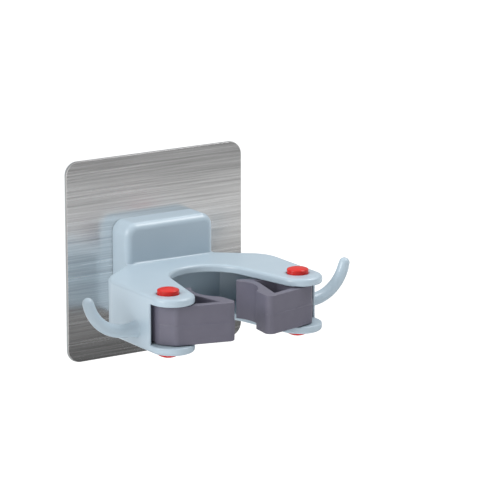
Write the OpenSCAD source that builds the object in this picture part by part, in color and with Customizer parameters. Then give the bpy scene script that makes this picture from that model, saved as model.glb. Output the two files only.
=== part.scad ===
// Wall holder for one long handle, with two swinging jaws and two side hooks.
// The wall is the plane y = 0 and the holder stands out along -Y, with +Z up.
// A name that ends in _f is a distance out from the wall, so its place is at y = -value.

/* [Backing plate] */
// Width and height of the square steel plate
plate_size = 80; // [60:1:120]
// Radius of the plate's corners
plate_corner_r = 5.5; // [2:0.5:12]
// Thickness of the steel
plate_t = 1; // [0.6:0.1:3]
// Thickness of the adhesive sheet behind the steel
adhesive_t = 0.5; // [0.3:0.1:2]
// How far the adhesive sheet stays inside the plate's edge
adhesive_inset = 0.4; // [0:0.1:1.5]

/* [Housing block] */
// Width of the upright block behind the shelf
block_w = 39.8; // [34:0.2:46]
// Height of the block's top above the plate's centre
block_top = 15.3; // [8:0.1:24]
// How far the block stands off the plate
block_depth = 11.5; // [9:0.1:14]
// Radius of the block's two upper corners
block_corner_r = 5; // [3.5:0.1:8]
// Radius of the block's front edges
block_edge_r = 3; // [1:0.1:3.4]

/* [Shelf] */
// Overall width across the two arms
shelf_w = 74.8; // [72:0.2:90]
// Overall height of the arms
shelf_h = 21.85; // [19:0.05:30]
// How far the shelf's top lies below the plate's centre
shelf_drop = 0.75; // [0:0.05:6]
// Thickness of the shelf's top plate and bottom plate
shelf_plate_t = 3; // [2.4:0.1:4]
// Thickness of the outer side walls
side_wall_t = 2.2; // [1.4:0.1:2.3]
// Distance from the wall where the flared sides turn straight
flare_f = 32; // [28:0.5:36]
// Radius of the turn from the flare to the straight side
flare_r = 14; // [8:0.5:15]
// Thickness of the housing behind the hollow between the plates, measured from the steel
slot_back_t = 14.5; // [12:0.5:18]
// How far the side walls stop short of the pivots
side_wall_short = 0.1; // [0.1:0.1:6]
// Radius about the pivots to which the side walls are hollowed for the jaws' barrels
barrel_room_r = 7.4; // [6.4:0.1:7.6]
// Radius of the round arm ends
arm_tip_r = 8.6; // [7.6:0.1:10]
// Distance from the wall to the centre of the round arm ends
arm_tip_f = 60.3; // [58:0.1:66]

/* [Handle recess] */
// Radius of the round back of the recess
recess_r = 15.7; // [14.5:0.1:18]
// Distance from the wall to the centre of that round
recess_f = 42.5; // [40:0.5:46]

/* [Pivots] */
// How far each pivot lies inside the arm's outer side
pivot_inset = 8.2; // [8.1:0.1:9.5]
// How far each pivot lies behind the centre of the round arm end
pivot_back = 2.1; // [0:0.1:3]
// Diameter of the pivot pin
pin_d = 5; // [4:0.1:5.2]
// Diameter of the pin's head and of the cap on its foot
head_d = 8.4; // [7:0.1:11]
// Height of the head above the arm
head_h = 2.5; // [2.2:0.1:4]
// Height of the straight rim of the head and the cap
head_rim_h = 1.6; // [0.5:0.1:2]
// Height of the cap below the arm
cap_h = 2.9; // [2.2:0.1:4]
// Depth of the round seat that the head sits in
seat_depth = 0.35; // [0.2:0.05:0.8]
// Width of the bare ring round the head in its seat
seat_ring = 0.4; // [0.1:0.1:1]
// Diameter of the pin's spigot inside the cap
spigot_d = 3.4; // [2.4:0.1:3.8]
// Length of that spigot
spigot_l = 1.2; // [0.8:0.1:1.4]

/* [Jaws] */
// Diameter of the handle that the jaws close on
handle_d = 25.4; // [22:0.1:27]
// How far the axis of the held handle lies behind the pivots
handle_back = 6.4; // [5.2:0.1:8]
// Radius of the round barrel about the pin
barrel_r = 5.6; // [5:0.05:5.7]
// Radius of the jaw's outer front corner
front_corner_r = 3; // [2:0.1:3.4]
// How far that corner's centre lies ahead of the pin
front_corner_ahead = 5.4; // [4:0.1:6]
// How far that corner's centre lies nearer the handle than the pin
front_corner_in = 0.5; // [0.2:0.1:2]
// Clear gap between the two closed tips
tip_gap = 14; // [8:0.5:18]
// How far the centres of the round tips lie ahead of the pivots
tip_ahead = 10.7; // [9:0.1:12.5]
// Radius of the round tips
tip_r = 2.6; // [2:0.1:3.2]
// How far the centre of the jaw's rear corner lies behind the pivots
rear_back = 13.2; // [11.4:0.1:14]
// Radius of the jaw's rear corner
rear_r = 1.8; // [1.4:0.1:2.4]
// Thickness of the wall that hugs the handle
inner_wall_t = 3.2; // [2:0.1:4]
// Thickness of the front wall and the rear wall
outer_wall_t = 2.8; // [2:0.1:3.4]
// Length of the heel that meets the side wall when the jaw is shut
heel_l = 6.4; // [5:0.1:8]

/* [Springs] */
// Diameter of the spring wire
wire_d = 0.8; // [0.6:0.05:0.85]
// Number of turns
spring_turns = 5; // [3:1:6]
// Clear gap between one turn and the next
spring_turn_gap = 0.5; // [0.45:0.05:0.8]
// Length of the straight leg that pushes the jaw
spring_leg_l = 4.6; // [3.8:0.1:4.8]
// How deep the fixed end goes into the bottom plate
spring_tang_l = 1.4; // [0.8:0.1:1.8]

/* [Side hooks] */
// Distance from the wall to the plane of the hooks
hook_f = 48; // [40:0.5:50]
// Height of the hook's straight root above the shelf's underside
hook_rise = 7; // [6:0.1:9]
// Length of the straight root
hook_root_l = 4.8; // [3:0.1:10]
// Radius of the hook's bend along its centre
hook_bend_r = 16; // [12:0.5:22]
// How far the hook turns up
hook_turn = 72; // [60:1:90]
// Diameter of the hook along its bend
hook_d = 4.8; // [4:0.1:6]
// Diameter where the root meets the side wall
hook_root_d = 6.2; // [5:0.1:8]
// Diameter of the hook's rounded tip
hook_tip_d = 4.2; // [3.4:0.1:5]
// Length of the taper towards the tip
hook_tip_l = 2; // [1:0.1:6]
// Diameter of the peg that goes through the side wall
hook_peg_d = 4; // [3:0.1:4.6]

/* [Screws] */
// Distance between the two screws that hold the plate to the block
screw_spacing = 24; // [16:0.5:28]
// Diameter of the screw's shank
screw_d = 3; // [2.5:0.1:3.4]
// Diameter of the screw's countersunk head
screw_head_d = 5.4; // [4.6:0.1:6.4]
// Length of the screw in the block
screw_l = 8; // [5:0.5:9]

/* [Clearances] */
// Running clearance round a pin, on the radius
run_clear = 0.05; // [0.02:0.01:0.1]
// Clearance round a piece that is pushed or screwed in, on the radius
seat_clear = 0.02; // [0.01:0.01:0.1]
// Gap between each jaw and the plates above and below it
jaw_gap = 0.35; // [0.2:0.05:0.8]
// Gap between a jaw's heel and the side wall
heel_gap = 0.3; // [0.2:0.05:0.4]
// Gap between a spring and what it turns in
spring_gap = 0.4; // [0.3:0.05:0.5]
// Clearance round the spring's fixed end in its hole, on the radius
tang_clear = 0.15; // [0.1:0.05:0.3]

/* [Hidden] */
$fn = 96;
hull_fn = 32;
// How far a cut runs past the face that it opens
over = 1;

// How much thinner the hook's tip starts than the bend, on the radius
tip_step = 0.1;

// Colours of the mouldings and metals
clear_film = [0.92, 0.93, 0.94, 0.6];
brushed_steel = [0.66, 0.66, 0.66];
pale_plastic = [0.71, 0.77, 0.82];
dark_plastic = [0.40, 0.39, 0.43];
red_plastic = [0.85, 0.10, 0.08];
spring_steel = [0.55, 0.55, 0.57];

// Levels
plate_front_f = adhesive_t + plate_t;
shelf_top = -shelf_drop;
shelf_bottom = shelf_top - shelf_h;
slot_top = shelf_top - shelf_plate_t;
slot_bottom = shelf_bottom + shelf_plate_t;
jaw_top = slot_top - jaw_gap;
jaw_bottom = slot_bottom + jaw_gap;

// Places in plan, as [x, y], on the right side
half_w = shelf_w / 2;
arm_tip = [half_w - arm_tip_r, -arm_tip_f];
recess = [0, -recess_f];
pivot = [half_w - pivot_inset, pivot_back - arm_tip_f];
handle_axis = [0, pivot.y + handle_back];
flare_start = [block_w / 2, -plate_front_f - block_depth];
flare_centre = [half_w - flare_r, -flare_f];
flare_normal = tangent_normal(flare_start, flare_centre, flare_r);
recess_normal = cross_normal(recess, recess_r, arm_tip, arm_tip_r);
mouth = arm_tip - arm_tip_r * recess_normal;
side_wall_end_f = -pivot.y - side_wall_short;

// The right jaw in plan
handle_r = handle_d / 2;
tip = [tip_gap / 2 + tip_r, pivot.y - tip_ahead];
front_corner = [pivot.x - front_corner_in, pivot.y - front_corner_ahead];
rear_out = rear_back - handle_back;
rear = [sqrt(pow(handle_r + rear_r / 2, 2) - pow(rear_out, 2)), pivot.y + rear_back];
heel_x = half_w - side_wall_t - heel_gap;

// Pins, caps and springs
pin_r = pin_d / 2;
bore_r = pin_r + run_clear;
seat_r = head_d / 2 + seat_ring;
wire_r = wire_d / 2;
coil_r = bore_r + spring_gap + wire_r;
coil_bottom = slot_bottom + spring_gap + wire_r;
spring_pitch = wire_d + spring_turn_gap;
coil_top = coil_bottom + spring_turns * spring_pitch;
pocket_top = coil_top + wire_r + spring_gap;
rings_per_turn = 8;
wire_sides = 6;

// Unit vector at an angle
function dir(a) = [cos(a), sin(a)];

// The same place on the left side
function flip(p) = [-p.x, p.y];

// Outward normal of the line from a point that touches a circle on its right
function tangent_normal(p, c, r) =
    let (d = p - c)
    dir(atan2(d.y, d.x) - acos(r / norm(d)));

// Normal of the line that passes between two circles and touches both
function cross_normal(c1, r1, c2, r2) =
    let (d = c2 - c1)
    dir(atan2(d.y, d.x) + acos((r1 + r2) / norm(d)));

// Normal of the line that touches two circles on the left of the way from one to the other
function side_normal(c1, r1, c2, r2) =
    let (d = c2 - c1)
    dir(atan2(d.y, d.x) + acos((r1 - r2) / norm(d)));

// Where the line that touches circle c with a given normal crosses a given x
function on_line(n, c, r, x) = [x, (n * c + r - n.x * x) / n.y];

module rounded_square(size, r) {
    square([size - 2 * r, size], center = true);
    square([size, size - 2 * r], center = true);
    for (x = [-1, 1])
        for (z = [-1, 1])
            translate([x, z] * (size / 2 - r)) circle(r);
}

// A slab that stands parallel to the wall, between two distances from it
module upright(from_f, to_f) {
    translate([0, -from_f, 0]) rotate([90, 0, 0]) linear_extrude(to_f - from_f) children();
}

// A copy on each side
module both_sides() {
    children();
    mirror([1, 0, 0]) children();
}

// A round bar between two levels at a place in plan
module bar(p, r, low, high) {
    translate([p.x, p.y, low]) cylinder(r = r, h = high - low);
}

// Round bars given clockwise as [place, radius], joined by the flat sides that touch them
module wrapped(rounds, low, high) {
    count = len(rounds);
    translate([0, 0, low]) linear_extrude(high - low) polygon([
        for (i = [0 : count - 1])
            let (
                a = rounds[i],
                b = rounds[(i + 1) % count],
                n = side_normal(a[0], a[1], b[0], b[1])
            )
            each [a[0] + a[1] * n, b[0] + b[1] * n]
    ]);
    for (a = rounds)
        bar(a[0], a[1], low, high);
}

module adhesive_sheet() {
    color(clear_film)
        upright(0, adhesive_t)
            rounded_square(plate_size - 2 * adhesive_inset, plate_corner_r - adhesive_inset);
}

module backing_plate() {
    color(brushed_steel) difference() {
        upright(adhesive_t, plate_front_f) rounded_square(plate_size, plate_corner_r);
        screw_places() screw(seat_clear);
    }
}

// The screws lie level, with their heads at the back of the steel
module screw_places() {
    for (side = [-1, 1])
        translate([side * screw_spacing / 2, -adhesive_t, (shelf_top + shelf_bottom) / 2])
            rotate([90, 0, 0]) children();
}

module screw(clear) {
    head_r = screw_head_d / 2 + clear;
    shank_r = screw_d / 2 + clear;
    cylinder(r1 = head_r, r2 = shank_r, h = head_r - shank_r);
    cylinder(r = shank_r, h = plate_t + screw_l + clear);
}

module plate_screws() {
    color(brushed_steel) screw_places() screw(0);
}

// Outline of the shelf without its recess, drawn in by the thickness of a wall
module shelf_outline(inset) {
    root = [block_w / 2 - inset, -plate_front_f];
    start = flare_start - inset * flare_normal;
    turn = flare_centre + (flare_r - inset) * flare_normal;
    side = [half_w - inset, -flare_f];
    front = [half_w - inset, -arm_tip_f];
    nose = [arm_tip.x, mouth.y];
    right = [root, start, turn, side, front, nose];
    left = [nose, front, side, turn, start, root];
    polygon(concat(right, [for (p = left) flip(p)]));
    both_sides() translate(flare_centre) circle(flare_r - inset);
}

// The recess has a round back and two straight sides that open towards the front
module recess_outline() {
    back = recess + recess_r * recess_normal;
    ahead = mouth - [0, over];
    translate(recess) circle(recess_r);
    polygon([back, mouth, ahead, flip(ahead), flip(mouth), flip(back)]);
}

// The hollow between the plates is open to the front, and to the sides past the side walls
module slot_outline() {
    back_f = plate_front_f + slot_back_t;
    front_f = arm_tip_f + arm_tip_r + over;
    intersection() {
        shelf_outline(side_wall_t);
        translate([-half_w, -front_f]) square([shelf_w, front_f - back_f]);
    }
    translate([-half_w - over, -front_f])
        square([shelf_w + 2 * over, front_f - side_wall_end_f]);
}

// Upright block with two round upper corners and round front edges
module block() {
    half = block_w / 2;
    corner = [half - block_corner_r, block_top - block_corner_r];
    front_f = plate_front_f + block_depth;
    edge_y = block_edge_r - front_f;
    hull() {
        upright(plate_front_f, front_f - block_edge_r) {
            translate([-half, slot_top]) square([block_w, corner.y - slot_top]);
            for (x = [-1, 1])
                translate([x * corner.x, corner.y]) circle(block_corner_r, $fn = hull_fn);
        }
        for (x = [-1, 1]) {
            translate([x * corner.x, edge_y, corner.y])
                rotate([90, 0, 0])
                    rotate_extrude($fn = hull_fn)
                        translate([block_corner_r - block_edge_r, 0])
                            intersection() {
                                circle(block_edge_r, $fn = hull_fn);
                                translate([0, -block_edge_r]) square(2 * block_edge_r);
                            }
            translate([x * (half - block_edge_r), edge_y, slot_top])
                cylinder(r = block_edge_r, h = shelf_plate_t, $fn = hull_fn);
        }
    }
}

module housing() {
    color(pale_plastic) difference() {
        union() {
            translate([0, 0, shelf_bottom]) linear_extrude(shelf_h) {
                shelf_outline(0);
                both_sides() translate(arm_tip) circle(arm_tip_r);
            }
            block();
        }
        translate([0, 0, shelf_bottom - over]) linear_extrude(shelf_h + 2 * over) recess_outline();
        translate([0, 0, slot_bottom]) linear_extrude(slot_top - slot_bottom) slot_outline();
        both_sides() {
            bar(pivot, barrel_room_r, slot_bottom, slot_top);
            bar(pivot, bore_r, shelf_bottom - over, shelf_top + over);
            bar(pivot, seat_r, shelf_top - seat_depth, shelf_top + over);
            bar(pivot, seat_r, shelf_bottom - over, shelf_bottom + seat_depth);
            bar(coil_point(0), wire_r + tang_clear, tang_end().z - tang_clear, slot_bottom + over);
            hook_place() hook_peg(seat_clear);
        }
        screw_places() screw(seat_clear);
    }
}

// A hook's own frame at the right side wall: X outwards, Z up
module hook_place() {
    translate([half_w, -hook_f, shelf_bottom + hook_rise]) children();
}

module hook_peg(clear) {
    translate([-side_wall_t - over * clear, 0, 0])
        rotate([0, 90, 0]) cylinder(r = hook_peg_d / 2 + clear, h = side_wall_t + over * clear);
}

// Peg, tapered root, bend and rounded tip, from the side wall out and up
module hook() {
    bend_end = hook_turn - 90;
    hook_place() {
        hook_peg(0);
        rotate([0, 90, 0]) cylinder(d1 = hook_root_d, d2 = hook_d, h = hook_root_l);
        translate([hook_root_l, 0, hook_bend_r]) {
            rotate([90, 0, 0])
                rotate(-90)
                    rotate_extrude(angle = hook_turn) translate([hook_bend_r, 0]) circle(d = hook_d);
            translate(hook_bend_r * [cos(bend_end), 0, sin(bend_end)])
                rotate([0, -bend_end, 0]) {
                    translate([0, 0, -over / 2])
                        cylinder(d1 = hook_d - 2 * tip_step, d2 = hook_tip_d, h = hook_tip_l + over / 2);
                    translate([0, 0, hook_tip_l]) intersection() {
                        sphere(d = hook_tip_d);
                        cylinder(d = 2 * hook_tip_d, h = hook_tip_d);
                    }
                }
        }
    }
}

module left_hook() {
    color(pale_plastic) mirror([1, 0, 0]) hook();
}

module right_hook() {
    color(pale_plastic) hook();
}

// The hollow in the loop, one wall's thickness inside the front, the rear and the handle side
module jaw_hollow() {
    front = side_normal(front_corner, front_corner_r, tip, tip_r);
    back = side_normal(rear, rear_r, pivot, barrel_r);
    front_r = front_corner_r - outer_wall_t;
    back_r = rear_r - outer_wall_t;
    inner_x = handle_r + inner_wall_t;
    barrel_x = pivot.x - barrel_r;
    polygon([
        on_line(front, front_corner, front_r, tip.x + tip_r),
        [inner_x, handle_axis.y],
        on_line(back, rear, back_r, inner_x),
        on_line(back, rear, back_r, barrel_x),
        on_line(front, front_corner, front_r, barrel_x),
    ]);
}

// The jaw turns on the pin, and its barrel is bored out from below for the spring
module jaw() {
    rounds = [[pivot, barrel_r], [front_corner, front_corner_r], [tip, tip_r], [rear, rear_r]];
    slot_w = wire_d + 2 * spring_gap;
    color(dark_plastic) difference() {
        union() {
            wrapped(rounds, jaw_bottom, jaw_top);
            translate([pivot.x, pivot.y, jaw_bottom])
                cube([heel_x - pivot.x, heel_l, jaw_top - jaw_bottom]);
        }
        bar(handle_axis, handle_r, jaw_bottom - over, jaw_top + over);
        translate([0, 0, jaw_bottom - over])
            linear_extrude(jaw_top - jaw_bottom + 2 * over) jaw_hollow();
        bar(pivot, bore_r, jaw_bottom - over, jaw_top + over);
        bar(pivot, coil_r + wire_r + spring_gap, jaw_bottom - over, pocket_top);
        translate([pivot.x, pivot.y + coil_r - slot_w / 2, jaw_bottom - over])
            cube([spring_leg_l + spring_gap, slot_w, pocket_top - jaw_bottom + over]);
    }
}

module left_jaw() {
    mirror([1, 0, 0]) jaw();
}

module right_jaw() {
    jaw();
}

// A head with a straight rim and a dome, face down on z = 0, that stands out by a given height
module head(out) {
    height = out + seat_depth;
    rim = head_rim_h + seat_depth;
    dome = height - rim;
    dome_r = (pow(head_d / 2, 2) + pow(dome, 2)) / (2 * dome);
    intersection() {
        cylinder(d = head_d, h = height);
        translate([0, 0, height - dome_r]) sphere(dome_r);
    }
}

// Headed pin, with a spigot at its foot for the cap
module pivot_pin() {
    head_level = shelf_top - seat_depth;
    foot = shelf_bottom + seat_depth;
    color(red_plastic) {
        translate([pivot.x, pivot.y, head_level]) head(head_h);
        bar(pivot, pin_r, foot, head_level);
        bar(pivot, spigot_d / 2, foot - spigot_l, foot);
    }
}

module left_pivot_pin() {
    mirror([1, 0, 0]) pivot_pin();
}

module right_pivot_pin() {
    pivot_pin();
}

// Cap under the arm, pushed on to the pin's spigot
module pin_cap() {
    foot = shelf_bottom + seat_depth;
    color(red_plastic) difference() {
        translate([pivot.x, pivot.y, foot]) mirror([0, 0, 1]) head(cap_h);
        bar(pivot, spigot_d / 2 + seat_clear, foot - spigot_l - seat_clear, foot + over);
    }
}

module left_pin_cap() {
    mirror([1, 0, 0]) pin_cap();
}

module right_pin_cap() {
    pin_cap();
}

// A place on the right coil after some turns, counted from its fixed end at the back of the pin
function coil_point(turn) =
    let (a = 90 - 360 * turn)
    [pivot.x + coil_r * cos(a), pivot.y + coil_r * sin(a), coil_bottom + turn * spring_pitch];

// The fixed end points down into the bottom plate, and the free leg leaves along the coil's tangent
function tang_end() = [pivot.x, pivot.y + coil_r, slot_bottom - spring_tang_l];
coil_path = [for (i = [0 : spring_turns * rings_per_turn]) coil_point(i / rings_per_turn)];
wire_path = concat([tang_end()], coil_path, [coil_point(spring_turns) + [spring_leg_l, 0, 0]]);

// Direction of the wire at one point of its path
function unit(v) = v / norm(v);
function wire_dir(i) =
    let (last = len(wire_path) - 1)
    unit((i > 0 ? unit(wire_path[i] - wire_path[i - 1]) : [0, 0, 0])
        + (i < last ? unit(wire_path[i + 1] - wire_path[i]) : [0, 0, 0]));

// Direction from the pin's axis to the coil, held along the straight ends
function wire_out(i) =
    let (a = 90 - 360 * min(max(i - 1, 0), len(coil_path) - 1) / rings_per_turn)
    [cos(a), sin(a), 0];

// Points round the wire at one point of its path
function wire_ring(i) =
    let (t = wire_dir(i), u = unit(cross(t, wire_out(i))), v = cross(u, t))
    [for (k = [0 : wire_sides - 1])
        wire_path[i] + wire_r * (cos(360 * k / wire_sides) * v + sin(360 * k / wire_sides) * u)];

// Least clear gap between two turns, measured on the coil's points
coil_gap = min([
    for (i = [0 : len(coil_path) - 1])
        for (j = [i + rings_per_turn - 1 : 1 : len(coil_path) - 1])
            norm(coil_path[i] - coil_path[j])
]) - wire_d;

module spring() {
    rings = len(wire_path);
    echo(least_spring_gap = coil_gap);
    color(spring_steel)
        polyhedron(
            points = [for (i = [0 : rings - 1]) each wire_ring(i)],
            faces = concat(
                [for (k = [1 : wire_sides - 2]) [0, k, k + 1]],
                [for (i = [0 : rings - 2]) for (k = [0 : wire_sides - 1]) each wire_quad(i, k)],
                [for (k = [1 : wire_sides - 2]) [0, k + 1, k] + (rings - 1) * wire_sides * [1, 1, 1]]
            )
        );
}

// The two triangles between one ring and the next
function wire_quad(i, k) =
    let (
        a = i * wire_sides + k,
        b = i * wire_sides + (k + 1) % wire_sides,
        c = a + wire_sides,
        d = b + wire_sides
    )
    [[a, c, b], [b, c, d]];

module left_spring() {
    mirror([1, 0, 0]) spring();
}

module right_spring() {
    spring();
}

adhesive_sheet();
backing_plate();
plate_screws();
housing();
left_hook();
right_hook();
left_jaw();
right_jaw();
left_pivot_pin();
right_pivot_pin();
left_pin_cap();
right_pin_cap();
left_spring();
right_spring();
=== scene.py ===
# Looks of the wall holder: rounded mouldings, sprung jaws, hooks and a brushed steel plate.
import math

import bpy
import bmesh
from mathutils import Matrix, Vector


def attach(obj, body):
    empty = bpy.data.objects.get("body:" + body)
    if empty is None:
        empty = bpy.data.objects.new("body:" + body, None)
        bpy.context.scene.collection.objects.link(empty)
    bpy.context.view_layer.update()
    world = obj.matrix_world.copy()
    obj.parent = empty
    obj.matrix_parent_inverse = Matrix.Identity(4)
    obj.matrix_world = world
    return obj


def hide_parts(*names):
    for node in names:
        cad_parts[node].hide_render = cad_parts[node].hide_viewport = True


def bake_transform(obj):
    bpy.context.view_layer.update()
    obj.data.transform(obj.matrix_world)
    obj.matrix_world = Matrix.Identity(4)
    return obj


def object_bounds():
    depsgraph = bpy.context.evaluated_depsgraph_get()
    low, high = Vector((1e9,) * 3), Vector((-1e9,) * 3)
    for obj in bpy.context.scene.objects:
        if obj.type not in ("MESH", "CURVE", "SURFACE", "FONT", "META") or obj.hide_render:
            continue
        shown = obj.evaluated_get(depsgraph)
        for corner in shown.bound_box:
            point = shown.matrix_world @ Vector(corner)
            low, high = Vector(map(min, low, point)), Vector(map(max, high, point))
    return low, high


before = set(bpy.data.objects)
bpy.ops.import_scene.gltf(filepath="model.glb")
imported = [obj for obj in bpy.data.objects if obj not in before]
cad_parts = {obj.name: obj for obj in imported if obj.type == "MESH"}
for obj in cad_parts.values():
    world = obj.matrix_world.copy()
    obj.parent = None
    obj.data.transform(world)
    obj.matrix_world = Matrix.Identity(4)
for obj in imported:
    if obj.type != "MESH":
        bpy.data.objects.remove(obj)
cad_low, cad_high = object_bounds()

MM = 0.001

# Places and sizes from the solids, in millimetres and degrees
SHELF_TOP = -0.75
SHELF_BOTTOM = -22.6
SLOT_TOP = -3.75
SLOT_BOTTOM = -19.6
PLATE_FRONT = -1.5
PLATE_HALF = 40.0
SHEET_HALF = 39.6
SCREW_X = 12.0
SCREW_Z = -11.68
BLOCK_FRONT = -13.0
BLOCK_HALF = 19.9
BLOCK_CORNER = 3.1
SIDE_X = 37.4
SIDE_END_Y = -58.1
PIVOT_X = 29.2
PIVOT_Y = -58.2
SEAT_R = 4.6
HEAD_R = 4.2
JAW_TOP = -4.1
JAW_BOTTOM = -19.25
HOOK_Y = -48.0
HOOK_Z = -15.6
HOOK_ROOT_L = 4.8
HOOK_BEND_R = 16.0
HOOK_TURN = 72
COIL_R = 3.35
WIRE_R = 0.4
COIL_BOTTOM = -18.8
COIL_TOP = -12.3
COIL_TURNS = 5
COIL_LEG = 4.6
TANG_BEND_R = 0.7
TANG_END = -21.0

# Distances within which an edge belongs to a screw hole or a jaw's barrel, in millimetres
SCREW_HOLE_REACH = 3.0
JAW_BARREL_REACH = 6.5

# Radii of the rounded edges, in millimetres
SHELF_RIM_R = 1.3
BLOCK_FOOT_R = 1.2
BLOCK_FOOT_CORNER_R = 0.5
SLOT_EDGE_R = 0.5
WALL_EDGE_R = 0.4
SIDE_END_R = 0.25
JAW_RIM_R = 0.33
JAW_CORNER_R = 0.2
HEAD_RIM_R = 0.25
PLATE_RIM_R = 0.2

# The jaws' mould line, in millimetres from half height: the ridge lies between the two middle cuts,
# and falls off steeply below them and gently above
RIDGE_CUTS = (-0.12, -0.06, 0.06, 0.4)
RIDGE_REACH = 0.04
RIDGE_RISE = 0.22
RIDGE_STOP = 0.5

# Radii along a hook, in millimetres, and the steps of its root as length and new radius
HOOK_FOOT_R = 3.7
HOOK_R = 2.55
HOOK_TAPER = 0.3
HOOK_TIP_R = 2.12
HOOK_TIP_L = 1.9
HOOK_DOME = 2.1
HOOK_SINK = 0.3
HOOK_ROOT = ((0.5, 3.35), (0.5, 3.1), (1.0, 2.92), (1.4, 2.72), (1.7, HOOK_R))

# Sockets of the mixing node by number, because their names repeat for each kind of value
VALUE_A, VALUE_B, VALUE_OUT = 2, 3, 0
COLOUR_A, COLOUR_B, COLOUR_OUT = 6, 7, 2


# Helpers for pieces

def clear_selection():
    """Leaves edit mode and deselects everything."""
    if bpy.context.mode != "OBJECT":
        bpy.ops.object.mode_set(mode="OBJECT")
    bpy.ops.object.select_all(action="DESELECT")


def take(piece):
    """Makes one piece the only selected and active one."""
    clear_selection()
    piece.select_set(True)
    bpy.context.view_layer.objects.active = piece


def edit(piece):
    """Opens one piece in edit mode, with all of it selected."""
    take(piece)
    bpy.ops.object.mode_set(mode="EDIT")
    bpy.ops.mesh.select_all(action="SELECT")


def apply_modifier(piece, kind, **settings):
    """Adds a modifier with its settings and applies it."""
    take(piece)
    modifier = piece.modifiers.new(kind.lower(), kind)
    for name, value in settings.items():
        setattr(modifier, name, value)
    bpy.ops.object.modifier_apply(modifier=modifier.name)


def merged_copy(node, name):
    """A copy of a solid whose triangles are merged into whole flat faces."""
    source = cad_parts[node]
    piece = bpy.data.objects.new(name, source.data.copy())
    bpy.context.collection.objects.link(piece)
    take(piece)
    bpy.ops.mesh.customdata_custom_splitnormals_clear()
    edit(piece)
    bpy.ops.mesh.remove_doubles(threshold=0.03 * MM)
    bpy.ops.mesh.dissolve_limited(angle_limit=math.radians(0.5))
    clear_selection()
    return piece


def round_edges(piece, radius_of, largest, segments=4):
    """Rounds each sharp edge by the radius in millimetres that radius_of gives for its place."""
    sharp = 35
    mesh = bmesh.new()
    mesh.from_mesh(piece.data)
    layer = mesh.edges.layers.float.new("bevel_weight_edge")
    for edge in mesh.edges:
        if len(edge.link_faces) == 2:
            bend = math.degrees(edge.calc_face_angle_signed(0))
            if abs(bend) > sharp:
                middle = (edge.verts[0].co + edge.verts[1].co) / 2 / MM
                run = (edge.verts[1].co - edge.verts[0].co).normalized()
                edge[layer] = radius_of(middle, run, bend) / largest
    mesh.to_mesh(piece.data)
    mesh.free()
    apply_modifier(
        piece, "BEVEL", limit_method="WEIGHT", width=largest * MM, segments=segments,
        use_clamp_overlap=False, loop_slide=False, miter_outer="MITER_ARC",
    )


def smooth(piece, angle=30):
    """Smooth shading that leaves flat faces flat."""
    take(piece)
    bpy.ops.object.shade_smooth_by_angle(angle=math.radians(angle))
    apply_modifier(piece, "WEIGHTED_NORMAL", keep_sharp=True, weight=80)


def finish_piece(piece, material, body, node):
    """Gives a piece its material and its body, and hides the solid that it stands for."""
    piece.data.materials.clear()
    piece.data.materials.append(material)
    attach(piece, body)
    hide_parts(node)


def from_pivot(middle):
    """Distance in plan from the nearer pivot, in millimetres."""
    return math.hypot(abs(middle.x) - PIVOT_X, middle.y - PIVOT_Y)


def is_upright(run):
    """Whether an edge runs up and down."""
    return abs(run.z) > 0.9


def add_ring(name, points, radius, fill, place):
    """A new piece that is one ring of points about the X direction, with its radius in millimetres."""
    clear_selection()
    bpy.ops.mesh.primitive_circle_add(
        vertices=points, radius=radius * MM, fill_type=fill,
        location=place, rotation=(0, math.pi / 2, 0),
    )
    piece = bpy.context.object
    piece.name = name
    bpy.ops.object.transform_apply(location=True, rotation=True, scale=True)
    return piece


def draw_straight(step):
    """Draws the selected ring on by a straight step."""
    bpy.ops.mesh.extrude_region_move(TRANSFORM_OT_translate={"value": step})


def draw_round(angle, centre):
    """Draws the selected ring on by a turn about the Y direction."""
    draw_straight((0, 0, 0))
    bpy.ops.transform.rotate(value=angle, orient_axis="Y", center_override=centre)


def face_outwards():
    """Points all faces of the piece that is being edited outwards."""
    bpy.ops.mesh.select_all(action="SELECT")
    bpy.ops.mesh.normals_make_consistent(inside=False)


def left_of(right_piece, name):
    """The same piece on the left side, as its own mesh."""
    piece = right_piece.copy()
    piece.data = right_piece.data.copy()
    piece.name = name
    bpy.context.collection.objects.link(piece)
    edit(piece)
    bpy.ops.transform.mirror(constraint_axis=(True, False, False), center_override=(0, 0, 0))
    face_outwards()
    clear_selection()
    return piece


# Helpers for materials

def linear(hex_colour):
    """An sRGB hex colour as linear red, green, blue and alpha."""
    parts = [int(hex_colour[i:i + 2], 16) / 255 for i in (1, 3, 5)]
    return [c / 12.92 if c <= 0.04045 else ((c + 0.055) / 1.055) ** 2.4 for c in parts] + [1.0]


def new_material(name, **values):
    """A material with one shader whose plain values are set on its sockets."""
    material = bpy.data.materials.new(name)
    material.use_nodes = True
    shader = material.node_tree.nodes["Principled BSDF"]
    for socket, value in values.items():
        shader.inputs[socket.replace("_", " ")].default_value = value
    return material, material.node_tree, shader


def add_node(tree, kind, links=(), values=(), **settings):
    """Adds a shader node with its settings, its input values and its links."""
    node = tree.nodes.new(kind)
    for name, value in settings.items():
        setattr(node, name, value)
    for name, value in values:
        node.inputs[name].default_value = value
    for name, socket in links:
        tree.links.new(socket, node.inputs[name])
    return node


def object_place(tree):
    """The place on the piece, in its own coordinates."""
    return add_node(tree, "ShaderNodeTexCoord").outputs["Object"]


def add_noise(tree, place, across, detail):
    """Noise with patches so many millimetres across."""
    return add_node(
        tree, "ShaderNodeTexNoise", [("Vector", place)],
        [("Scale", 1 / (across * MM)), ("Detail", detail)],
    ).outputs["Fac"]


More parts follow.
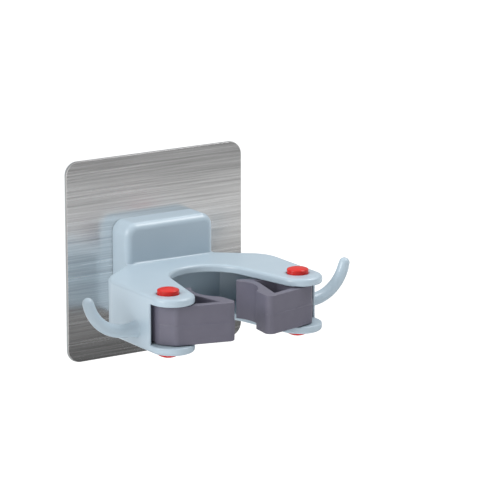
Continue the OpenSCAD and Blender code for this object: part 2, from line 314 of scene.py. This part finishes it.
def add_streaks(tree, place, length, apart, roughness):
    """Noise drawn out into level streaks, with their length and distance in millimetres."""
    stretched = add_node(
        tree, "ShaderNodeMapping", [("Vector", place)],
        [("Scale", (1 / (length * MM), 1 / (length * MM), 1 / (apart * MM)))],
    )
    return add_node(
        tree, "ShaderNodeTexNoise", [("Vector", stretched.outputs["Vector"])],
        [("Scale", 1.0), ("Detail", 2), ("Roughness", roughness)],
    ).outputs["Fac"]


def calculate(tree, operation, *terms):
    """One step of arithmetic on sockets and plain numbers."""
    links = [(i, term) for i, term in enumerate(terms) if not isinstance(term, float)]
    values = [(i, term) for i, term in enumerate(terms) if isinstance(term, float)]
    return add_node(tree, "ShaderNodeMath", links, values, operation=operation).outputs["Value"]


def map_range(tree, value, low, high, to_low=0.0, to_high=1.0):
    """Takes a value between two limits to the same place between two others."""
    return add_node(
        tree, "ShaderNodeMapRange", [("Value", value)],
        [("From Min", low), ("From Max", high), ("To Min", to_low), ("To Max", to_high)],
    ).outputs["Result"]


def mix_colours(tree, share, first, second):
    """A colour between two hex colours."""
    return add_node(
        tree, "ShaderNodeMix", [("Factor", share)],
        [(COLOUR_A, linear(first)), (COLOUR_B, linear(second))], data_type="RGBA",
    ).outputs[COLOUR_OUT]


def add_bump(tree, shader, height, strength, depth):
    """Raises and lowers a material's surface by a pattern, with its depth in millimetres."""
    bump = add_node(
        tree, "ShaderNodeBump", [("Height", height)],
        [("Strength", strength), ("Distance", depth * MM)],
    )
    tree.links.new(bump.outputs["Normal"], shader.inputs["Normal"])


# Materials

def moulded_abs():
    """Pale grey-blue ABS from a polished mould: a soft gloss, a faint grain and flow cloudiness."""
    material, tree, shader = new_material("moulded_abs_pale_blue", Roughness=0.34, IOR=1.53)
    place = object_place(tree)
    # Clouds about 14 mm across, from the flow of the melt
    flow = add_noise(tree, place, across=14, detail=3)
    tree.links.new(mix_colours(tree, flow, "#9FB0BC", "#A7B7C2"), shader.inputs["Base Color"])
    # Grain of the mould, 0.5 mm, drawn coarser than the real 0.05 mm so that it shows
    grain = add_noise(tree, place, across=0.5, detail=2)
    add_bump(tree, shader, grain, strength=0.05, depth=0.05)
    return material


def moulded_nylon():
    """Dark grey-mauve filled nylon: satin, with a fine grain and cloudy filler."""
    material, tree, shader = new_material("moulded_nylon_dark_mauve", Roughness=0.46, IOR=1.53)
    place = object_place(tree)
    # Filler clouds about 5 mm across
    cloud = add_noise(tree, place, across=5, detail=4)
    tree.links.new(mix_colours(tree, cloud, "#585765", "#62606E"), shader.inputs["Base Color"])
    # Spark-eroded grain, 0.4 mm, drawn coarser than the real 0.06 mm so that it shows
    grain = add_noise(tree, place, across=0.4, detail=2)
    add_bump(tree, shader, grain, strength=0.12, depth=0.05)
    return material


def glossy_red():
    """Red ABS pins, polished and bright, with slightly uneven moulded domes."""
    material, tree, shader = new_material(
        "polished_abs_red", Roughness=0.2, IOR=1.5, Specular_IOR_Level=0.36,
    )
    # Sink marks about 3 mm across
    sink = add_noise(tree, object_place(tree), across=3, detail=1)
    tree.links.new(mix_colours(tree, sink, "#B81710", "#CA211A"), shader.inputs["Base Color"])
    add_bump(tree, shader, sink, strength=0.6, depth=0.4)
    return material


def brushed_steel():
    """Stainless steel brushed level: long fine scratches that spread the reflection up and down."""
    material, tree, shader = new_material("brushed_stainless_steel", Metallic=1.0)
    place = object_place(tree)
    # Scratches 60 mm long and 0.7 mm apart, drawn coarser than the real 0.1 mm so that they show
    fine = add_streaks(tree, place, length=60, apart=0.7, roughness=0.6)
    # Broader bands 70 mm long and 3 mm apart, where the belt pressed harder
    band = add_streaks(tree, place, length=70, apart=3, roughness=0.5)
    both = calculate(tree, "MULTIPLY_ADD", band, 0.2, fine)
    low, high = 0.38, 0.82
    brushed = mix_colours(tree, map_range(tree, both, low, high), "#C6C6C6", "#F8F8F8")
    rough = map_range(tree, both, low, high, to_low=0.2, to_high=0.28)
    # The sides behind the brushed front are sheared: duller and evenly grey
    depth = add_node(tree, "ShaderNodeSeparateXYZ", [("Vector", place)]).outputs["Y"]
    sheared = map_range(tree, depth, (PLATE_FRONT + 0.01) * MM, (PLATE_FRONT + 0.06) * MM)
    colour = add_node(
        tree, "ShaderNodeMix", [("Factor", sheared), (COLOUR_A, brushed)],
        [(COLOUR_B, linear("#A4A4A4"))], data_type="RGBA",
    )
    tree.links.new(colour.outputs[COLOUR_OUT], shader.inputs["Base Color"])
    dull = add_node(
        tree, "ShaderNodeMix", [("Factor", sheared), (VALUE_A, rough)], [(VALUE_B, 0.55)],
    )
    tree.links.new(dull.outputs[VALUE_OUT], shader.inputs["Roughness"])
    add_bump(tree, shader, fine, strength=0.15, depth=0.05)
    return material


def drawn_steel():
    """Plain drawn steel wire and screws: bright, with a fine uneven tone."""
    material, tree, shader = new_material("drawn_spring_steel", Metallic=1.0, Roughness=0.3)
    # Patches about 0.6 mm across
    tone = add_noise(tree, object_place(tree), across=0.6, detail=2)
    tree.links.new(mix_colours(tree, tone, "#8D8D90", "#B6B6B9"), shader.inputs["Base Color"])
    return material


def clear_adhesive():
    """Clear acrylic adhesive sheet: grey from the steel that it lies on, with trapped air specks."""
    material, tree, shader = new_material(
        "acrylic_adhesive_sheet", Roughness=0.32, IOR=1.47, Transmission_Weight=0.25,
    )
    # Air specks about 1.5 mm across
    speck = add_noise(tree, object_place(tree), across=1.5, detail=3)
    tree.links.new(mix_colours(tree, speck, "#9CA2A5", "#ACB1B4"), shader.inputs["Base Color"])
    return material


ABS = moulded_abs()
NYLON = moulded_nylon()
RED = glossy_red()
STEEL = brushed_steel()
WIRE = drawn_steel()
ADHESIVE = clear_adhesive()


# Housing

def housing_radius(middle, run, bend):
    """Radius of the housing's edges: soft outside, smaller inside, none in the holes."""
    if from_pivot(middle) < SEAT_R + 0.2:
        return 0
    if middle.y > PLATE_FRONT - 0.1:
        from_screw = math.hypot(abs(middle.x) - SCREW_X, middle.z - SCREW_Z)
        return 0 if from_screw < SCREW_HOLE_REACH else WALL_EDGE_R
    level = round(middle.z, 2)
    if bend < 0:
        # The fillet under the block runs along its front and into its corners
        if level != SHELF_TOP or middle.y > BLOCK_FRONT + 2.0:
            return 0
        along_front = abs(middle.x) < BLOCK_HALF - BLOCK_CORNER
        return BLOCK_FOOT_R if along_front else BLOCK_FOOT_CORNER_R
    if level == SHELF_TOP and abs(abs(middle.x) - BLOCK_HALF) < 0.05:
        return 0
    if level in (SHELF_TOP, SHELF_BOTTOM):
        return SHELF_RIM_R
    if level in (SLOT_TOP, SLOT_BOTTOM):
        return SLOT_EDGE_R
    if is_upright(run) and middle.y < SIDE_END_Y + 0.1:
        return SIDE_END_R
    return 0


housing = merged_copy("housing", "housing_moulding")
round_edges(housing, housing_radius, SHELF_RIM_R)
smooth(housing)
finish_piece(housing, ABS, "wall_holder", "housing")


# Jaws

def jaw_radius(middle, run, bend):
    """Radius of a jaw's edges: its outline and corners are soft, and its barrel stays crisp."""
    if from_pivot(middle) < JAW_BARREL_REACH or bend < 0:
        return 0
    return JAW_CORNER_R if is_upright(run) else JAW_RIM_R


def raise_parting_line(jaw):
    """A fine ridge at half height round the jaw's front, where the two halves of the mould met."""
    half = (JAW_TOP + JAW_BOTTOM) / 2
    ridge_end = cad_low[1] / MM + RIDGE_STOP
    for level in RIDGE_CUTS:
        edit(jaw)
        bpy.ops.mesh.bisect(plane_co=(0, 0, (half + level) * MM), plane_no=(0, 0, 1))
    edit(jaw)
    bpy.ops.mesh.bisect(plane_co=(0, ridge_end * MM, 0), plane_no=(0, 1, 0))
    bpy.ops.mesh.select_mode(type="FACE")
    bpy.ops.mesh.select_all(action="DESELECT")
    clear_selection()
    for face in jaw.data.polygons:
        on_ridge = abs(face.center.z / MM - half) < RIDGE_REACH
        in_front = face.center.y / MM < PIVOT_Y - 2 and face.normal.y < -0.2
        short_of_nose = face.center.y / MM > ridge_end
        face.select = on_ridge and in_front and short_of_nose
    take(jaw)
    bpy.ops.object.mode_set(mode="EDIT")
    bpy.ops.transform.shrink_fatten(value=RIDGE_RISE * MM)
    clear_selection()


for side in ("left", "right"):
    jaw = merged_copy(f"{side}_jaw", f"{side}_jaw_moulding")
    round_edges(jaw, jaw_radius, JAW_RIM_R)
    raise_parting_line(jaw)
    smooth(jaw)
    finish_piece(jaw, NYLON, f"{side}_jaw", f"{side}_jaw")


# Pins and caps

def head_radius(middle, run, bend):
    """Radius of the rim between a head's side and its dome."""
    on_rim = abs(from_pivot(middle) - HEAD_R) < 0.05
    outside = middle.z > SHELF_TOP + 0.5 or middle.z < SHELF_BOTTOM - 0.5
    return HEAD_RIM_R if on_rim and outside else 0


for side in ("left", "right"):
    for node in (f"{side}_pivot_pin", f"{side}_pin_cap"):
        pin = merged_copy(node, f"{node}_moulding")
        round_edges(pin, head_radius, HEAD_RIM_R)
        smooth(pin)
        finish_piece(pin, RED, "wall_holder", node)


# Plate, adhesive and screws

def plate_radius(middle, run, bend):
    """Radius of the deburred edge round the plate, front and back."""
    on_outline = max(abs(middle.x), abs(middle.z)) > PLATE_HALF - 4
    return PLATE_RIM_R if on_outline and abs(run.y) < 0.5 else 0


plate = merged_copy("backing_plate", "backing_plate_sheet")
round_edges(plate, plate_radius, PLATE_RIM_R, segments=3)
smooth(plate)
finish_piece(plate, STEEL, "wall_holder", "backing_plate")

# The adhesive is pressed out to the plate's edge
sheet = merged_copy("adhesive_sheet", "adhesive_sheet_pressed")
edit(sheet)
spread = PLATE_HALF / SHEET_HALF
bpy.ops.transform.resize(value=(spread, 1, spread), center_override=(0, 0, 0))
clear_selection()
smooth(sheet)
finish_piece(sheet, ADHESIVE, "wall_holder", "adhesive_sheet")

# The screws keep their solids and only take the wire's material
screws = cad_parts["plate_screws"].data
screws.materials.clear()
screws.materials.append(WIRE)


# Hooks

def shape_hook(name):
    """The right hook, drawn out ring by ring from a round root, up the bend and to its tip."""
    place = Vector((SIDE_X - HOOK_SINK, HOOK_Y, HOOK_Z)) * MM
    radius = HOOK_FOOT_R
    hook = add_ring(name, points=32, radius=radius, fill="NGON", place=place)
    edit(hook)

    def thin_to(new_radius):
        """Scales the newest ring about its middle."""
        nonlocal radius
        share = new_radius / radius
        bpy.ops.transform.resize(value=(share, share, share), center_override=place)
        radius = new_radius

    def draw_on(step, new_radius):
        """Draws the hook straight on to a ring of a new radius."""
        nonlocal place
        draw_straight(step)
        place = place + step
        thin_to(new_radius)

    # Small fillet against the side wall, then the tapered root
    for along, new_radius in HOOK_ROOT:
        draw_on(Vector((along * MM, 0, 0)), new_radius)
    # The bend, in equal turns about the axis across it
    bend_centre = Vector((SIDE_X + HOOK_ROOT_L, HOOK_Y, HOOK_Z + HOOK_BEND_R)) * MM
    steps = 18
    turn = math.radians(HOOK_TURN / steps)
    for i in range(1, steps + 1):
        draw_round(turn, bend_centre)
        angle = turn * i
        place = bend_centre + HOOK_BEND_R * MM * Vector((math.sin(angle), 0, -math.cos(angle)))
        thin_to(HOOK_R - HOOK_TAPER * i / steps)
    # The rounded tip
    onward = Vector((math.cos(angle), 0, math.sin(angle)))
    draw_on(onward * HOOK_TIP_L * MM, HOOK_TIP_R)
    dome_foot = place.copy()
    for lift in (20, 40, 60, 75):
        height = HOOK_DOME * math.sin(math.radians(lift))
        step = dome_foot + onward * height * MM - place
        draw_on(step, HOOK_TIP_R * math.cos(math.radians(lift)))
    face_outwards()
    clear_selection()
    return hook


right_hook = shape_hook("right_hook_moulding")
left_hook = left_of(right_hook, "left_hook_moulding")
for side, hook in (("left", left_hook), ("right", right_hook)):
    smooth(hook, angle=50)
    finish_piece(hook, ABS, "wall_holder", f"{side}_hook")


# Springs

def select_ring(spring, centre):
    """Selects the ring of wire points about one point, in edit mode."""
    clear_selection()
    for point in spring.data.vertices:
        point.select = (point.co - centre).length < 1.1 * WIRE_R * MM
    take(spring)
    bpy.ops.object.mode_set(mode="EDIT")
    bpy.ops.mesh.select_mode(type="VERT")


def wind_spring(name):
    """The right torsion spring: wire screwed up the pin, with a tang below and a leg above."""
    lead = math.atan(TANG_BEND_R / COIL_R)
    begin = Vector((0, COIL_R, COIL_BOTTOM)) * MM
    spring = add_ring(name, points=12, radius=WIRE_R, fill="NOTHING", place=begin)
    steps = 120
    apply_modifier(
        spring, "SCREW", axis="Z", angle=lead - 2 * math.pi * COIL_TURNS,
        screw_offset=(COIL_TOP - COIL_BOTTOM) * MM,
        steps=steps, render_steps=steps, use_merge_vertices=True,
    )
    # The free leg goes straight on from the coil's last point
    end = Vector((math.sin(-lead) * COIL_R, math.cos(lead) * COIL_R, COIL_TOP)) * MM
    onward = Vector((math.cos(lead), math.sin(lead), 0))
    select_ring(spring, end)
    draw_straight(onward * COIL_LEG * MM)
    bpy.ops.mesh.edge_face_add()
    # The tang bends down from the coil's first point into the bottom plate
    bend_centre = begin - Vector((0, 0, TANG_BEND_R * MM))
    select_ring(spring, begin)
    turns = 6
    for _ in range(turns):
        draw_round(math.radians(90 / turns), bend_centre)
    tang = COIL_BOTTOM - TANG_BEND_R - TANG_END
    draw_straight((0, 0, -tang * MM))
    bpy.ops.mesh.edge_face_add()
    # The coil is turned so that the tang stands behind the pin, and is set round the pin
    face_outwards()
    bpy.ops.transform.rotate(value=lead, orient_axis="Z", center_override=(0, 0, 0))
    bpy.ops.transform.translate(value=(PIVOT_X * MM, PIVOT_Y * MM, 0))
    clear_selection()
    return spring


right_spring = wind_spring("right_spring_wire")
left_spring = left_of(right_spring, "left_spring_wire")
for side, spring, x in (("left", left_spring, -PIVOT_X), ("right", right_spring, PIVOT_X)):
    smooth(spring, angle=50)
    spring.data.materials.append(WIRE)
    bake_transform(spring)
    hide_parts(f"{side}_spring")


# Stage

def face_along(thing, direction, front):
    """Turns a camera, lamp or card so that its front faces along a direction."""
    thing.rotation_mode = "QUATERNION"
    thing.rotation_quaternion = Vector(direction).to_track_quat(front, "Y")


def add_camera():
    """A long lens from the front left, a little above, as in the photograph."""
    azimuth = math.radians(-33.0)
    elevation = math.radians(13.78)
    back = Vector((
        math.sin(azimuth) * math.cos(elevation),
        -math.cos(azimuth) * math.cos(elevation),
        math.sin(elevation),
    ))
    data = bpy.data.cameras.new("camera")
    data.lens = 233.7
    data.sensor_width = 36
    camera = bpy.data.objects.new("camera", data)
    camera.location = (-0.6445, -1.0620, 0.3047)
    face_along(camera, -back, "-Z")
    bpy.context.collection.objects.link(camera)
    bpy.context.scene.camera = camera


def add_softbox(name, place, aim, power, mirrored=True):
    """A square soft light that faces a point, and that glossy pieces may mirror or not."""
    data = bpy.data.lights.new(name, "AREA")
    data.shape = "SQUARE"
    data.size = 0.3
    data.energy = power
    lamp = bpy.data.objects.new(name, data)
    lamp.location = place
    lamp.visible_glossy = mirrored
    face_along(lamp, Vector(aim) - Vector(place), "-Z")
    bpy.context.collection.objects.link(lamp)


def add_sky():
    """White studio surround, brighter overhead and on the left, dimmer in front and behind."""
    world = bpy.data.worlds.new("studio")
    world.use_nodes = True
    tree = world.node_tree
    way = add_node(tree, "ShaderNodeTexCoord").outputs["Generated"]
    even = add_node(tree, "ShaderNodeValue")
    even.outputs["Value"].default_value = 0.62
    level = even.outputs["Value"]
    # Each change of brightness has a direction, a narrowness and a strength
    for direction, narrowness, strength in (
        ((0, 0, 1), 1.0, 0.5),
        ((0.3, -0.95, 0.05), 2.0, -0.75),
        ((-0.95, -0.25, 0.15), 4.0, 0.5),
        ((0.46, 0.88, 0.1), 3.0, -0.35),
    ):
        along = add_node(
            tree, "ShaderNodeVectorMath", [(0, way)], [(1, direction)], operation="DOT_PRODUCT",
        ).outputs["Value"]
        ahead = calculate(tree, "MAXIMUM", along, 0.0)
        lobe = calculate(tree, "POWER", ahead, narrowness)
        level = calculate(tree, "MULTIPLY_ADD", lobe, strength, level)
    # The camera sees the surround no darker than white
    seen = add_node(tree, "ShaderNodeLightPath").outputs["Is Camera Ray"]
    level = calculate(tree, "MAXIMUM", level, seen)
    surround = tree.nodes["Background"]
    surround.inputs["Color"].default_value = linear("#FFFFFF")
    tree.links.new(level, surround.inputs["Strength"])
    bpy.context.scene.world = world


def add_floor():
    """A plain white floor far below the holder."""
    clear_selection()
    bpy.ops.mesh.primitive_plane_add(size=60, location=(0, 0, -0.7))
    floor = bpy.context.object
    floor.name = "floor"
    material = new_material(
        "white_paper", Roughness=0.9, Base_Color=linear("#FAFAFA"), Specular_IOR_Level=0.0,
        Emission_Color=linear("#FFFFFF"), Emission_Strength=0.3,
    )[0]
    floor.data.materials.append(material)


def add_card(name, place, towards, size, level):
    """A card out of the picture: a lit one shows in bright metal, and a black one keeps light off."""
    clear_selection()
    bpy.ops.mesh.primitive_plane_add(size=1)
    card = bpy.context.object
    card.name = name
    bpy.ops.transform.resize(value=(size[0], size[1], 1))
    card.location = place
    face_along(card, towards, "Z")
    bpy.ops.object.transform_apply(location=True, rotation=True, scale=True)
    material = new_material(
        name, Roughness=0.9, Base_Color=linear("#000000"),
        Emission_Color=linear("#FFFFFF"), Emission_Strength=level,
    )[0]
    card.data.materials.append(material)
    lit = level > 0
    card.visible_camera = False
    card.visible_transmission = False
    card.visible_glossy = lit
    card.visible_diffuse = not lit
    card.visible_shadow = not lit


add_camera()
add_sky()
add_floor()
add_card(
    "front_card", place=(0.265, -0.407, -0.119), towards=(-0.529, 0.8145, 0.238),
    size=(0.6, 0.6), level=0.31,
)
add_card("low_card", place=(0.05, -0.057, -0.05), towards=(0, 0, 1), size=(0.24, 0.104), level=0.1)
add_card("band_card", place=(0.05, -0.112, -0.02), towards=(0, 1, 0), size=(0.24, 0.03), level=0.75)
add_card("left_flag", place=(-0.1, -0.041, -0.015), towards=(1, 0, 0), size=(0.036, 0.07), level=0)
add_softbox("edge_softbox", place=(0.37, -0.17, 0.57), aim=(0, -0.03, 0), power=2.8)
add_softbox("left_softbox", place=(-0.75, -0.06, 0.3), aim=(0, -0.03, 0), power=3.4)
add_softbox(
    "low_softbox", place=(-0.35, -0.6, -0.35), aim=(0, -0.05, -0.01), power=0.7, mirrored=False,
)
bpy.context.scene.view_settings.view_transform = "Standard"
